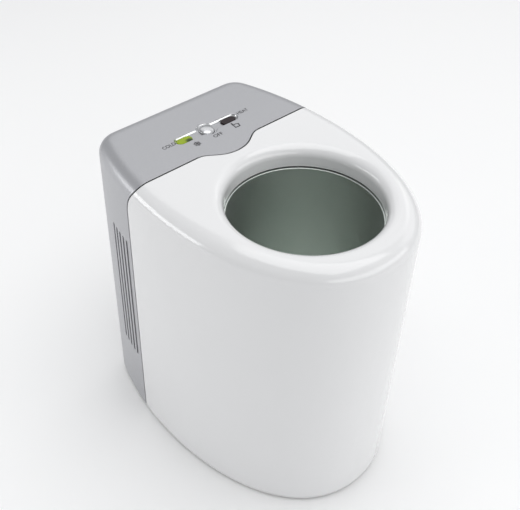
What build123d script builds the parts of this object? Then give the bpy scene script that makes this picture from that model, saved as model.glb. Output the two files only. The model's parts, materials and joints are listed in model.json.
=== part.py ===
"""A one-bottle thermoelectric cooler and warmer for the table.

A white front shell holds an aluminium cup for the bottle in a foam jacket. A grey rear housing
covers the heat pump, its heat sink, the fan and the control board, and carries the push button.
The front is the rounded end, towards -Y. Z is up, and the origin is the centre of the footprint,
on the surface that the rubber feet stand on. All sizes are in millimetres.
"""

from build123d import *

import os
from math import cos, radians, sin

os.makedirs("parts", exist_ok=True)

# ---------------------------------------------------------------- driving dimensions
LENGTH = 168.6  # nose to back wall
TOP = 178.0  # top panel above the table
WALL = 2.5  # moulded walls
EDGE_RADIUS = 9.0  # rounded edge of the top
CORNER_RADIUS = 14.0  # the two upright corners at the back
FIT = 0.3  # gap round a piece that is dropped in

# plan outline: each side is one Bezier from the nose to the back corner
NOSE_Y = -LENGTH / 2
BACK_Y = LENGTH / 2
NOSE_HANDLE_X = 66.5
SIDE_HANDLE = (74.5, 26.4)
BACK_HALF = 47.8

# the well and its cup
WELL_Y = NOSE_Y + 58.4
MOUTH_RADIUS = 40.1
ROLL_RADIUS = 6.0
COLLAR_BOTTOM = TOP - 11.7
GASKET = 0.8
CUP_RADIUS = 39.3  # inside
CUP_WALL = 1.2
CUP_FLOOR_Z = 33.0
FLANGE_RADIUS = 51.5
FLANGE_TOP = COLLAR_BOTTOM - GASKET
CUP_SCREW_CIRCLE = 47.2
CUP_SCREWS = [
    (CUP_SCREW_CIRCLE * cos(radians(angle)), WELL_Y + CUP_SCREW_CIRCLE * sin(radians(angle)))
    for angle in (-90, 30, 150)
]

# seam between the two mouldings
SEAM_GAP = 0.9
SEAM_SIDE_Y = 40.1
SEAM_TOP_Y = 31.8
SEAM_DROP = 20.0  # height over which it bends back from the top to the side
TONGUE_FRONT_Y = 24.1
TONGUE_HALF = 20.5
LIP_REACH = 3.0  # how far the grey lip runs under the white wall
LIP_WALL = 1.3
SEAL_DEPTH = 1.1  # from the skin down to the dark seal in the seam

# base
FOOT_STAND = 1.5
PLATE = 2.0
PLATE_TOP = FOOT_STAND + PLATE
SHELL_BOTTOM = PLATE_TOP + 0.4
BASE_RIM_TOP = 7.5
FRONT_BOSSES = [(0, NOSE_Y + 6.2), (54.9, -5.0), (-54.9, -5.0)]
REAR_BOSSES = [(50.6, 60.0), (-50.6, 60.0)]
BOSS_RADIUS = 4.2
BOSS_TOP = 21.0
FEET = [(34.0, -44.0), (-34.0, -44.0), (38.0, 68.0), (-38.0, 68.0)]
FOOT_RADIUS = 7.0

# screws: shank, pilot hole, head
SHANK = 1.45
PILOT = 1.5
CLEARANCE = 1.8
HEAD_RADIUS = 2.8
HEAD_HEIGHT = 1.7
CROSS_LENGTH = 2.9
CROSS_WIDTH = 0.7
CROSS_DEPTH = 0.9

# controls on the top of the rear housing
PANEL_Y = 49.7
RECESS_DEPTH = 1.6
RECESS_HALF = 21.0
RECESS_WIDTH = 6.5
RECESS_BULGE = 5.7
RECESS_EDGE = 0.5
PAD_BOTTOM = TOP - 4.0
BUTTON_RADIUS = 4.1
BUTTON_PROUD = 0.4
WINDOW_X = 15.0
WINDOW_SIZE = (9.4, 4.6)
WINDOW_TOP = TOP - 0.8
BOARD_TOP = 162.4
BOARD_THICK = 1.6
BOARD_SIZE = (74.0, 26.0)
BOARD_SCREWS = [(x, PANEL_Y + y) for x in (-32.5, 32.5) for y in (-8.5, 8.5)]

# heat pump, from the cup backwards
PUMP_Z = 95.0
SADDLE_SIZE = (60.0, 40.0)
BULKHEAD_FRONT = 26.2
COLD_FACE_Y = 28.0
CERAMIC = 0.8
PELLET = 2.2
PUMP_SIDE = 40.0
HOT_FACE_Y = COLD_FACE_Y + 2 * CERAMIC + PELLET
CLAMP_X = 25.6
LEAD_X = 7.0
LEAD_RADIUS = 1.0
SINK_BASE = 5.0
SINK_SIZE = (68.0, 100.0)
FIN_COUNT = 16
FIN_THICK = 1.2
FIN_TIP_Y = 56.8
FAN_FRONT = 58.0
FAN_DEPTH = 20.0
FAN_SIDE = 80.0
FAN_HOLE = 35.75  # screw places, across and up from the fan's centre
DUCT_RADIUS = 37.8
HUB_RADIUS = 17.5
BLADE_TIP = 36.6
BLADE_COUNT = 9
AXLE_RADIUS = 1.5

# air slots
SLOT_WIDTH = 1.9
SLOT_PITCH = 4.12
SIDE_SLOTS = 5
SIDE_SLOT_BACK_Y = 61.6
SIDE_SLOT_Z = (46.0, 135.4)
GRILLE_RADIUS = 35.0
GRILLE_SLOTS = 17

# supply socket in the back wall
SOCKET_X = 26.0
SOCKET_Z = 31.0
SOCKET_MOUTH = (16.0, 9.0)
SOCKET_WALL = 1.6
SOCKET_DEPTH = 15.0
PIN_RADIUS = 1.15
PIN_X = 3.6
PIN_LENGTH = 7.6


# ---------------------------------------------------------------- shared shapes
def body_outline(inset):
    """Plan outline of the body, moved in by inset."""
    with BuildSketch() as plan:
        with BuildLine():
            side = Bezier(
                (0, NOSE_Y + inset),
                (NOSE_HANDLE_X - 0.8 * inset, NOSE_Y + inset),
                (SIDE_HANDLE[0] - 1.2 * inset, SIDE_HANDLE[1]),
                (BACK_HALF - 0.8 * inset, BACK_Y - inset),
            )
            Line(side @ 1, (0, BACK_Y - inset))
            mirror(about=Plane.YZ)
        make_face()
        corners = [v for v in plan.vertices() if v.Y > 0 and abs(v.X) > 1]
        fillet(corners, radius=CORNER_RADIUS - inset)
    return plan.sketch


def body_form(inset, bottom):
    """The body as a solid block, moved in by inset, with its rounded top edge."""
    with BuildPart() as form:
        with BuildSketch(Plane.XY.offset(bottom)):
            add(body_outline(inset))
        extrude(amount=TOP - inset - bottom)
        fillet(form.faces().sort_by(Axis.Z)[-1].edges(), radius=EDGE_RADIUS - inset)
    return form.part


def rear_region(shift):
    """All that lies behind the seam, which is moved back by shift."""
    side = SEAM_SIDE_Y + shift
    crown = SEAM_TOP_Y + shift
    high = TOP + 20
    with BuildPart() as region:
        with BuildSketch(Plane.YZ):
            with BuildLine():
                bend = Bezier(
                    (crown, TOP),
                    (crown + 0.34 * (side - crown), TOP - 0.37 * SEAM_DROP),
                    (side, TOP - 0.55 * SEAM_DROP),
                    (side, TOP - SEAM_DROP),
                )
                Polyline(bend @ 1, (side, 0), (120, 0), (120, high), (crown, high), bend @ 0)
            make_face()
        extrude(amount=100, both=True)
        with BuildSketch(Plane.XY.offset(TOP - 6)):
            with BuildLine():
                half = Bezier(
                    (0, TONGUE_FRONT_Y + shift),
                    (0.54 * TONGUE_HALF, TONGUE_FRONT_Y + shift),
                    (0.68 * TONGUE_HALF, crown + 0.02),
                    (TONGUE_HALF, crown + 0.02),
                )
                Polyline(half @ 1, (TONGUE_HALF, crown + 9), (0, crown + 9))
                mirror(about=Plane.YZ)
            make_face()
        extrude(amount=26)
    return region.part


def finish(part, name):
    """Labels a finished piece and writes its file."""
    part.label = name
    export_step(part, f"parts/{name}.step")


def upright_plane(y):
    """A plane across the body at y: its x is the part's x, its y is the part's -z."""
    return Plane(origin=(0, y, 0), x_dir=(1, 0, 0), z_dir=(0, 1, 0))


def screws(plane, places, shank_length):
    """Pan head screws that point along the plane's normal, their heads before the plane."""
    with BuildPart() as made:
        with BuildSketch(plane):
            with Locations(*places):
                Circle(SHANK)
        extrude(amount=shank_length)
        with BuildSketch(plane):
            with Locations(*places):
                Circle(HEAD_RADIUS)
        extrude(amount=-HEAD_HEIGHT)
        heads = made.faces().filter_by(Plane(plane.origin, z_dir=plane.z_dir))
        outer = heads.sort_by(Axis(plane.origin, plane.z_dir))[: len(places)]
        fillet(outer.edges(), radius=0.8)
        with BuildSketch(Plane(plane.origin - plane.z_dir * HEAD_HEIGHT, plane.x_dir, plane.z_dir)):
            with Locations(*places):
                Rectangle(CROSS_LENGTH, CROSS_WIDTH)
                Rectangle(CROSS_WIDTH, CROSS_LENGTH)
        extrude(amount=CROSS_DEPTH, mode=Mode.SUBTRACT)
    return made.part


WELL_AXIS = Axis((0, WELL_Y, 0), (0, 0, 1))
WELL_SECTION = Plane(origin=(0, WELL_Y, 0), x_dir=(0, 1, 0), z_dir=(1, 0, 0))
outer_form = body_form(0, SHELL_BOTTOM)
hollow = body_form(WALL, 0)

# ---------------------------------------------------------------- front shell
with BuildPart() as front_shell:
    add(outer_form)
    add(hollow, mode=Mode.SUBTRACT)
    add(rear_region(-SEAM_GAP / 2), mode=Mode.SUBTRACT)
    # the mouth, with the rolled rim and the collar of the well in section
    with BuildSketch(Plane.XY.offset(COLLAR_BOTTOM - 5)):
        with Locations((0, WELL_Y)):
            Circle(MOUTH_RADIUS + ROLL_RADIUS)
    extrude(amount=20, mode=Mode.SUBTRACT)
    with BuildSketch(WELL_SECTION):
        with BuildLine():
            roll = RadiusArc(
                (MOUTH_RADIUS, TOP - ROLL_RADIUS), (MOUTH_RADIUS + ROLL_RADIUS, TOP), ROLL_RADIUS
            )
            Polyline(
                roll @ 1,
                (MOUTH_RADIUS + ROLL_RADIUS, TOP - WALL),
                (MOUTH_RADIUS + WALL, TOP - 7),
                (MOUTH_RADIUS + WALL, COLLAR_BOTTOM),
                (MOUTH_RADIUS, COLLAR_BOTTOM),
                roll @ 0,
            )
        make_face()
    revolve(axis=WELL_AXIS)
    # posts that the flange of the cup is screwed to, and the posts for the base screws
    with BuildSketch(Plane.XY.offset(FLANGE_TOP)):
        with Locations(*CUP_SCREWS):
            Circle(3.2)
    extrude(amount=TOP - 1.5 - FLANGE_TOP)
    with BuildSketch(Plane.XY.offset(PLATE_TOP)):
        with Locations(*FRONT_BOSSES):
            Circle(BOSS_RADIUS)
    extrude(amount=BOSS_TOP - PLATE_TOP)
    with BuildSketch(Plane.XY.offset(FLANGE_TOP)):
        with Locations(*CUP_SCREWS):
            Circle(PILOT)
    extrude(amount=9, mode=Mode.SUBTRACT)
    with BuildSketch(Plane.XY.offset(PLATE_TOP)):
        with Locations(*FRONT_BOSSES):
            Circle(PILOT)
    extrude(amount=12, mode=Mode.SUBTRACT)
finish(front_shell.part, "front_shell")

# ---------------------------------------------------------------- rear housing
behind_seam = rear_region(SEAM_GAP / 2)
lip_zone = rear_region(-LIP_REACH) - rear_region(4)
under_white = (body_form(WALL + 0.1, 9) - body_form(WALL + LIP_WALL, 0)) & lip_zone
under_grey = (body_form(1.0, 9) - body_form(WALL + LIP_WALL, 0)) & lip_zone & behind_seam


def grille_slots():
    """Upright slots that fill a circle, as pairs of a place and a length."""
    places = [(i - (GRILLE_SLOTS - 1) / 2) * SLOT_PITCH for i in range(GRILLE_SLOTS)]
    return [(across, 2 * (GRILLE_RADIUS**2 - across**2) ** 0.5) for across in places]


with BuildPart() as rear_housing:
    add(outer_form & behind_seam)
    add(hollow, mode=Mode.SUBTRACT)
    add(under_white)
    add(under_grey)
    # pad under the controls, and the four board posts
    with BuildSketch(Plane.XY.offset(PAD_BOTTOM)):
        with Locations((0, PANEL_Y)):
            RectangleRounded(2 * RECESS_HALF + 6, 2 * RECESS_BULGE + 4, 3)
    extrude(amount=TOP - 1 - PAD_BOTTOM)
    with BuildSketch(Plane.XY.offset(BOARD_TOP)):
        with Locations(*BOARD_SCREWS):
            Circle(3.2)
    extrude(amount=TOP - 1 - BOARD_TOP)
    # shallow recess: a bar with a round middle
    with BuildSketch(Plane.XY.offset(TOP - RECESS_DEPTH)) as recess:
        with Locations((0, PANEL_Y)):
            SlotOverall(2 * RECESS_HALF, RECESS_WIDTH)
            Circle(RECESS_BULGE)
        fillet([v for v in recess.vertices() if abs(v.X) < RECESS_BULGE + 1], radius=1.5)
    extrude(amount=10, mode=Mode.SUBTRACT)
    top_edges = rear_housing.edges().filter_by_position(Axis.Z, TOP - 0.01, TOP + 0.01)
    inner = top_edges.filter_by_position(Axis.Y, PANEL_Y - RECESS_BULGE, PANEL_Y + RECESS_BULGE)
    fillet(inner.filter_by(lambda edge: edge.length < 2 * RECESS_HALF), radius=RECESS_EDGE)
    with BuildSketch(Plane.XY.offset(PAD_BOTTOM - 1)):
        with Locations((0, PANEL_Y)):
            Circle(BUTTON_RADIUS + 0.2)
        with Locations((-WINDOW_X, PANEL_Y), (WINDOW_X, PANEL_Y)):
            SlotOverall(WINDOW_SIZE[0] + 0.2, WINDOW_SIZE[1] + 0.2)
    extrude(amount=10, mode=Mode.SUBTRACT)
    with BuildSketch(Plane.XY.offset(BOARD_TOP)):
        with Locations(*BOARD_SCREWS):
            Circle(PILOT)
    extrude(amount=8, mode=Mode.SUBTRACT)
    # upright air slots in both sides
    with BuildSketch(Plane.YZ):
        for i in range(SIDE_SLOTS):
            middle = (SIDE_SLOT_BACK_Y - i * SLOT_PITCH, sum(SIDE_SLOT_Z) / 2)
            with Locations(middle):
                SlotOverall(SIDE_SLOT_Z[1] - SIDE_SLOT_Z[0], SLOT_WIDTH, rotation=90)
    extrude(amount=80, both=True, mode=Mode.SUBTRACT)
    # spacers that the fan is screwed to, and the grille in front of it
    with BuildSketch(upright_plane(FAN_FRONT + FAN_DEPTH)):
        with Locations((0, -PUMP_Z)):
            with GridLocations(2 * FAN_HOLE, 2 * FAN_HOLE, 2, 2):
                Circle(4)
    extrude(amount=BACK_Y - 1 - FAN_FRONT - FAN_DEPTH)
    with BuildSketch(upright_plane(FAN_FRONT + FAN_DEPTH)):
        with Locations((0, -PUMP_Z)):
            with GridLocations(2 * FAN_HOLE, 2 * FAN_HOLE, 2, 2):
                Circle(CLEARANCE)
        for across, length in grille_slots():
            with Locations((across, -PUMP_Z)):
                SlotOverall(length, SLOT_WIDTH, rotation=90)
    extrude(amount=20, mode=Mode.SUBTRACT)
    with BuildSketch(upright_plane(BACK_Y - HEAD_HEIGHT)):
        with Locations((0, -PUMP_Z)):
            with GridLocations(2 * FAN_HOLE, 2 * FAN_HOLE, 2, 2):
                Circle(HEAD_RADIUS + 0.4)
    extrude(amount=10, mode=Mode.SUBTRACT)
    with BuildSketch(upright_plane(BACK_Y - 1 - HEAD_HEIGHT - 1)):
        with Locations((0, -PUMP_Z)):
            with GridLocations(2 * FAN_HOLE, 2 * FAN_HOLE, 2, 2):
                Circle(CLEARANCE)
    extrude(amount=4, mode=Mode.SUBTRACT)
    # mouth for the supply socket
    with BuildSketch(upright_plane(BACK_Y - WALL - 1)):
        with Locations((SOCKET_X, -SOCKET_Z)):
            RectangleRounded(SOCKET_MOUTH[0] + 2 * SOCKET_WALL, SOCKET_MOUTH[1] + 2 * SOCKET_WALL, 3)
    extrude(amount=10, mode=Mode.SUBTRACT)
    # posts for the base screws
    with BuildSketch(Plane.XY.offset(PLATE_TOP)):
        with Locations(*REAR_BOSSES):
            Circle(BOSS_RADIUS)
    extrude(amount=BOSS_TOP - PLATE_TOP)
    with BuildSketch(Plane.XY.offset(PLATE_TOP)):
        with Locations(*REAR_BOSSES):
            Circle(PILOT)
    extrude(amount=12, mode=Mode.SUBTRACT)
finish(rear_housing.part, "rear_housing")

# soft dark seal that lies in the seam, on the lip
seam_band = rear_region(-SEAM_GAP / 2) - rear_region(SEAM_GAP / 2)
seal_layer = body_form(SEAL_DEPTH, SHELL_BOTTOM) - body_form(WALL + 0.1, 0)
finish(seal_layer & seam_band, "seam_seal")

# ---------------------------------------------------------------- base
with BuildPart() as base_plate:
    with BuildSketch(Plane.XY.offset(FOOT_STAND)):
        add(body_outline(0.5))
    extrude(amount=PLATE)
    fillet(base_plate.faces().sort_by(Axis.Z)[0].outer_wire().edges(), radius=1.0)
    # rim that centres the two mouldings
    with BuildSketch(Plane.XY.offset(PLATE_TOP)):
        add(body_outline(WALL + FIT))
        add(body_outline(WALL + FIT + 1.8), mode=Mode.SUBTRACT)
    extrude(amount=BASE_RIM_TOP - PLATE_TOP)
    with BuildSketch(Plane.XY.offset(PLATE_TOP)):
        with Locations(*FRONT_BOSSES, *REAR_BOSSES):
            Circle(BOSS_RADIUS + FIT)
    extrude(amount=10, mode=Mode.SUBTRACT)
    # screw holes with room for the heads, and seats for the feet
    with BuildSketch(Plane.XY):
        with Locations(*FRONT_BOSSES, *REAR_BOSSES):
            Circle(CLEARANCE)
    extrude(amount=10, mode=Mode.SUBTRACT)
    with BuildSketch(Plane.XY):
        with Locations(*FRONT_BOSSES, *REAR_BOSSES):
            Circle(HEAD_RADIUS + FIT)
        with Locations(*FEET):
            Circle(FOOT_RADIUS)
    extrude(amount=FOOT_STAND + 0.8, mode=Mode.SUBTRACT)
    # air slots under the heat sink
    with BuildSketch(Plane.XY):
        with Locations((0, (HOT_FACE_Y + FAN_FRONT) / 2)):
            with GridLocations(8, 1, 6, 1):
                SlotOverall(20, 3, rotation=90)
    extrude(amount=10, mode=Mode.SUBTRACT)
finish(base_plate.part, "base_plate")

for i, place in enumerate(FEET):
    with BuildPart() as foot:
        with BuildSketch():
            with Locations(place):
                Circle(FOOT_RADIUS)
        extrude(amount=FOOT_STAND + 0.8)
        fillet(foot.edges().sort_by(Axis.Z)[0], radius=0.6)
    finish(foot.part, f"foot_{i + 1}")

base_screws = screws(Plane.XY.offset(FOOT_STAND + 0.8), FRONT_BOSSES + REAR_BOSSES, 11)
finish(base_screws, "base_screws")

# ---------------------------------------------------------------- well
with BuildPart() as well_cup:
    with BuildSketch(WELL_SECTION):
        with BuildLine():
            outer = CUP_RADIUS + CUP_WALL
            Polyline(
                (0, CUP_FLOOR_Z),
                (0, CUP_FLOOR_Z - CUP_WALL),
                (outer, CUP_FLOOR_Z - CUP_WALL),
                (outer, FLANGE_TOP - CUP_WALL),
                (FLANGE_RADIUS, FLANGE_TOP - CUP_WALL),
                (FLANGE_RADIUS, FLANGE_TOP),
                (CUP_RADIUS, FLANGE_TOP),
                (CUP_RADIUS, CUP_FLOOR_Z),
                close=True,
            )
        profile = make_face()
        fillet(profile.vertices().group_by(Axis.Y)[-1].sort_by(Axis.Z)[-1:], radius=0.3)
        inner = [v for v in profile.vertices() if abs(v.Y - WELL_Y - CUP_RADIUS) < 0.01]
        fillet(sorted(inner, key=lambda v: v.Z)[:1], radius=4)
        fillet(sorted(inner, key=lambda v: v.Z)[-1:], radius=0.9)
    revolve(axis=WELL_AXIS)
    with BuildSketch(Plane.XY.offset(FLANGE_TOP - 3)):
        with Locations(*CUP_SCREWS):
            Circle(CLEARANCE)
    extrude(amount=6, mode=Mode.SUBTRACT)
finish(well_cup.part, "well_cup")

with BuildPart() as well_gasket:
    with BuildSketch(Plane.XY.offset(FLANGE_TOP)):
        with Locations((0, WELL_Y)):
            Circle(MOUTH_RADIUS + WALL)
            Circle(MOUTH_RADIUS + 0.5, mode=Mode.SUBTRACT)
    extrude(amount=GASKET)
finish(well_gasket.part, "well_gasket")

cup_screws = screws(Plane.XY.offset(FLANGE_TOP - CUP_WALL), CUP_SCREWS, 9)
finish(cup_screws, "cup_screws")

JACKET_BOTTOM = 22.0
JACKET_TOP = FLANGE_TOP - CUP_WALL - 3
with BuildPart() as foam_jacket:
    with BuildSketch(Plane.XY.offset(JACKET_BOTTOM)):
        with Locations((0, WELL_Y)):
            Circle(FLANGE_RADIUS)
    extrude(amount=JACKET_TOP - JACKET_BOTTOM)
    with BuildSketch(Plane.XY.offset(CUP_FLOOR_Z - CUP_WALL)):
        with Locations((0, WELL_Y)):
            Circle(CUP_RADIUS + CUP_WALL + FIT)
    extrude(amount=200, mode=Mode.SUBTRACT)
    # window for the cold block
    with BuildSketch(upright_plane(WELL_Y)):
        with Locations((0, -PUMP_Z)):
            Rectangle(SADDLE_SIZE[0] + 1, SADDLE_SIZE[1] + 1)
    extrude(amount=80, mode=Mode.SUBTRACT)
finish(foam_jacket.part, "foam_jacket")

# ---------------------------------------------------------------- heat pump
with BuildPart() as bulkhead:
    with BuildSketch(upright_plane(BULKHEAD_FRONT)):
        with Locations((0, -(PLATE_TOP + 168) / 2)):
            RectangleRounded(108, 168 - PLATE_TOP, 4)
        with Locations((0, -PUMP_Z)):
            Rectangle(SADDLE_SIZE[0] + 1, SADDLE_SIZE[1] + 1, mode=Mode.SUBTRACT)
    extrude(amount=COLD_FACE_Y - BULKHEAD_FRONT)
finish(bulkhead.part, "bulkhead")

with BuildPart() as cold_block:
    with BuildSketch(upright_plane(0)):
        with Locations((0, -PUMP_Z)):
            Rectangle(*SADDLE_SIZE)
    extrude(amount=COLD_FACE_Y)
    with BuildSketch(Plane.XY):
        with Locations((0, WELL_Y)):
            Circle(CUP_RADIUS + CUP_WALL)
    extrude(amount=200, mode=Mode.SUBTRACT)
    with BuildSketch(upright_plane(COLD_FACE_Y)):
        with Locations((-CLAMP_X, -PUMP_Z), (CLAMP_X, -PUMP_Z)):
            Circle(PILOT)
    extrude(amount=-12, mode=Mode.SUBTRACT)
finish(cold_block.part, "cold_block")


def pump_plate(y, thickness):
    """A square plate of the heat pump, its front face at y."""
    with BuildPart() as plate:
        with BuildSketch(upright_plane(y)):
            with Locations((0, -PUMP_Z)):
                Rectangle(PUMP_SIDE, PUMP_SIDE)
        extrude(amount=thickness)
    return plate.part


finish(pump_plate(COLD_FACE_Y, CERAMIC), "pump_cold_plate")
finish(pump_plate(HOT_FACE_Y - CERAMIC, CERAMIC), "pump_hot_plate")

with BuildPart() as pump_pellets:
    with BuildSketch(upright_plane(COLD_FACE_Y + CERAMIC)):
        with Locations((0, -PUMP_Z)):
            with GridLocations(4.8, 4.8, 8, 8):
                Rectangle(2.6, 2.6)
    extrude(amount=PELLET)
finish(pump_pellets.part, "pump_pellets")

with BuildPart() as pump_gasket:
    with BuildSketch(upright_plane(COLD_FACE_Y)):
        with Locations((0, -PUMP_Z)):
            Rectangle(SINK_SIZE[0], 60)
            Rectangle(PUMP_SIDE + 1, PUMP_SIDE + 1, mode=Mode.SUBTRACT)
        with Locations((-CLAMP_X, -PUMP_Z), (CLAMP_X, -PUMP_Z)):
            Circle(CLEARANCE, mode=Mode.SUBTRACT)
        # way out for the two leads
        with Locations((0, -PUMP_Z - 26)):
            Rectangle(2 * LEAD_X + 4, 12, mode=Mode.SUBTRACT)
    extrude(amount=HOT_FACE_Y - COLD_FACE_Y)
finish(pump_gasket.part, "pump_gasket")

with BuildPart() as heat_sink:
    with BuildSketch(upright_plane(HOT_FACE_Y)):
        with Locations((0, -PUMP_Z)):
            Rectangle(*SINK_SIZE)
    extrude(amount=SINK_BASE)
    with BuildSketch(upright_plane(HOT_FACE_Y + SINK_BASE)):
        with Locations((0, -PUMP_Z)):
            with GridLocations((SINK_SIZE[0] - FIN_THICK) / (FIN_COUNT - 1), 1, FIN_COUNT, 1):
                Rectangle(FIN_THICK, SINK_SIZE[1])
    extrude(amount=FIN_TIP_Y - HOT_FACE_Y - SINK_BASE)
    with BuildSketch(upright_plane(HOT_FACE_Y + SINK_BASE)):
        with Locations((-CLAMP_X, -PUMP_Z), (CLAMP_X, -PUMP_Z)):
            Circle(HEAD_RADIUS + 1)
    extrude(amount=40, mode=Mode.SUBTRACT)
    with BuildSketch(upright_plane(HOT_FACE_Y)):
        with Locations((-CLAMP_X, -PUMP_Z), (CLAMP_X, -PUMP_Z)):
            Circle(CLEARANCE)
    extrude(amount=SINK_BASE, mode=Mode.SUBTRACT)
finish(heat_sink.part, "heat_sink")

clamp_plane = Plane(origin=(0, HOT_FACE_Y + SINK_BASE, 0), x_dir=(1, 0, 0), z_dir=(0, -1, 0))
clamp_places = [(-CLAMP_X, PUMP_Z), (CLAMP_X, PUMP_Z)]
clamp_screws = screws(clamp_plane, clamp_places, HOT_FACE_Y + SINK_BASE - COLD_FACE_Y + 10)
finish(clamp_screws, "clamp_screws")

# ---------------------------------------------------------------- fan
FAN_BACK = FAN_FRONT + FAN_DEPTH
SPIDER = 2.0
with BuildPart() as fan_frame:
    with BuildSketch(upright_plane(FAN_FRONT)):
        with Locations((0, -PUMP_Z)):
            RectangleRounded(FAN_SIDE, FAN_SIDE, 4)
            Circle(DUCT_RADIUS, mode=Mode.SUBTRACT)
            with GridLocations(2 * FAN_HOLE, 2 * FAN_HOLE, 2, 2):
                Circle(PILOT, mode=Mode.SUBTRACT)
    extrude(amount=FAN_DEPTH)
    with BuildSketch(upright_plane(FAN_BACK - SPIDER)):
        with Locations((0, -PUMP_Z)):
            Circle(HUB_RADIUS)
            with PolarLocations(DUCT_RADIUS / 2 + 1, 4, start_angle=20):
                Rectangle(DUCT_RADIUS, 4)
            Circle(3.5, mode=Mode.SUBTRACT)
    extrude(amount=SPIDER)
finish(fan_frame.part, "fan_frame")

with BuildPart() as fan_bearing:
    with BuildSketch(upright_plane(FAN_FRONT + 7)):
        with Locations((0, -PUMP_Z)):
            Circle(3.5)
            Circle(AXLE_RADIUS + 0.05, mode=Mode.SUBTRACT)
    extrude(amount=FAN_DEPTH - 7)
finish(fan_bearing.part, "fan_bearing")

with BuildPart() as fan_stator:
    with BuildSketch(upright_plane(FAN_FRONT + 8)):
        with Locations((0, -PUMP_Z)):
            Circle(6.5)
            with PolarLocations(8.5, 4):
                Rectangle(9, 5)
            Circle(3.5, mode=Mode.SUBTRACT)
    extrude(amount=FAN_DEPTH - 8 - SPIDER)
finish(fan_stator.part, "fan_stator")

with BuildPart() as fan_axle:
    with BuildSketch(upright_plane(FAN_FRONT + 1.5)):
        with Locations((0, -PUMP_Z)):
            Circle(AXLE_RADIUS)
    extrude(amount=FAN_DEPTH - 2.5)
finish(fan_axle.part, "fan_axle")


def blade_section(radius, chord, pitch):
    """Section of a fan blade at a radius, on a plane across the radius."""
    plane = Plane(origin=(radius, FAN_FRONT + 9.5, PUMP_Z), x_dir=(0, 1, 0), z_dir=(1, 0, 0))
    with BuildSketch(plane) as section:
        RectangleRounded(chord, 1.3, 0.5, rotation=pitch)
    return section.sketch


with BuildPart() as blade:
    add(blade_section(HUB_RADIUS - 0.9, 14, 52))
    add(blade_section(BLADE_TIP - 1.2, 17, 32))
    loft()

with BuildPart() as fan_rotor:
    with BuildSketch(upright_plane(FAN_FRONT + 1.5)):
        with Locations((0, -PUMP_Z)):
            Circle(HUB_RADIUS)
    extrude(amount=FAN_DEPTH - SPIDER - 2.5)
    for i in range(BLADE_COUNT):
        turned = blade.part.rotate(Axis((0, 0, PUMP_Z), (0, 1, 0)), i * 360 / BLADE_COUNT)
        add(turned)
    with BuildSketch(upright_plane(FAN_FRONT + 3.3)):
        with Locations((0, -PUMP_Z)):
            Circle(HUB_RADIUS - 1.8)
            Circle(3, mode=Mode.SUBTRACT)
    extrude(amount=FAN_DEPTH, mode=Mode.SUBTRACT)
    with BuildSketch(upright_plane(FAN_FRONT + 6)):
        with Locations((0, -PUMP_Z)):
            Circle(HUB_RADIUS - 1.8)
    extrude(amount=FAN_DEPTH, mode=Mode.SUBTRACT)
    with BuildSketch(upright_plane(FAN_FRONT)):
        with Locations((0, -PUMP_Z)):
            Circle(AXLE_RADIUS)
    extrude(amount=FAN_DEPTH, mode=Mode.SUBTRACT)
finish(fan_rotor.part, "fan_rotor")

fan_screw_plane = Plane(origin=(0, BACK_Y - HEAD_HEIGHT, 0), x_dir=(1, 0, 0), z_dir=(0, -1, 0))
fan_places = [(x, PUMP_Z + z) for x in (-FAN_HOLE, FAN_HOLE) for z in (-FAN_HOLE, FAN_HOLE)]
fan_screws = screws(fan_screw_plane, fan_places, 16)
finish(fan_screws, "fan_screws")

# ---------------------------------------------------------------- controls
with BuildPart() as control_board:
    with BuildSketch(Plane.XY.offset(BOARD_TOP - BOARD_THICK)):
        with Locations((0, PANEL_Y)):
            RectangleRounded(*BOARD_SIZE, 2)
        with Locations(*BOARD_SCREWS):
            Circle(CLEARANCE, mode=Mode.SUBTRACT)
    extrude(amount=BOARD_THICK)
finish(control_board.part, "control_board")

board_screws = screws(Plane.XY.offset(BOARD_TOP - BOARD_THICK), BOARD_SCREWS, 8)
finish(board_screws, "board_screws")

SWITCH_TOP = BOARD_TOP + 3.6
PLUNGER_TOP = SWITCH_TOP + 2.2
BUTTON_FLANGE_TOP = PAD_BOTTOM - 0.2
with BuildPart() as switch_body:
    with BuildSketch(Plane.XY.offset(BOARD_TOP)):
        with Locations((0, PANEL_Y)):
            RectangleRounded(7, 7, 0.5)
    extrude(amount=SWITCH_TOP - BOARD_TOP)
    with BuildSketch(Plane.XY.offset(BOARD_TOP + 0.6)):
        with Locations((0, PANEL_Y)):
            Circle(1.95)
    extrude(amount=10, mode=Mode.SUBTRACT)
finish(switch_body.part, "switch_body")

with BuildPart() as switch_plunger:
    with BuildSketch(Plane.XY.offset(SWITCH_TOP - 1.4)):
        with Locations((0, PANEL_Y)):
            Circle(1.85)
    extrude(amount=PLUNGER_TOP - SWITCH_TOP + 1.4)
finish(switch_plunger.part, "switch_plunger")

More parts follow.
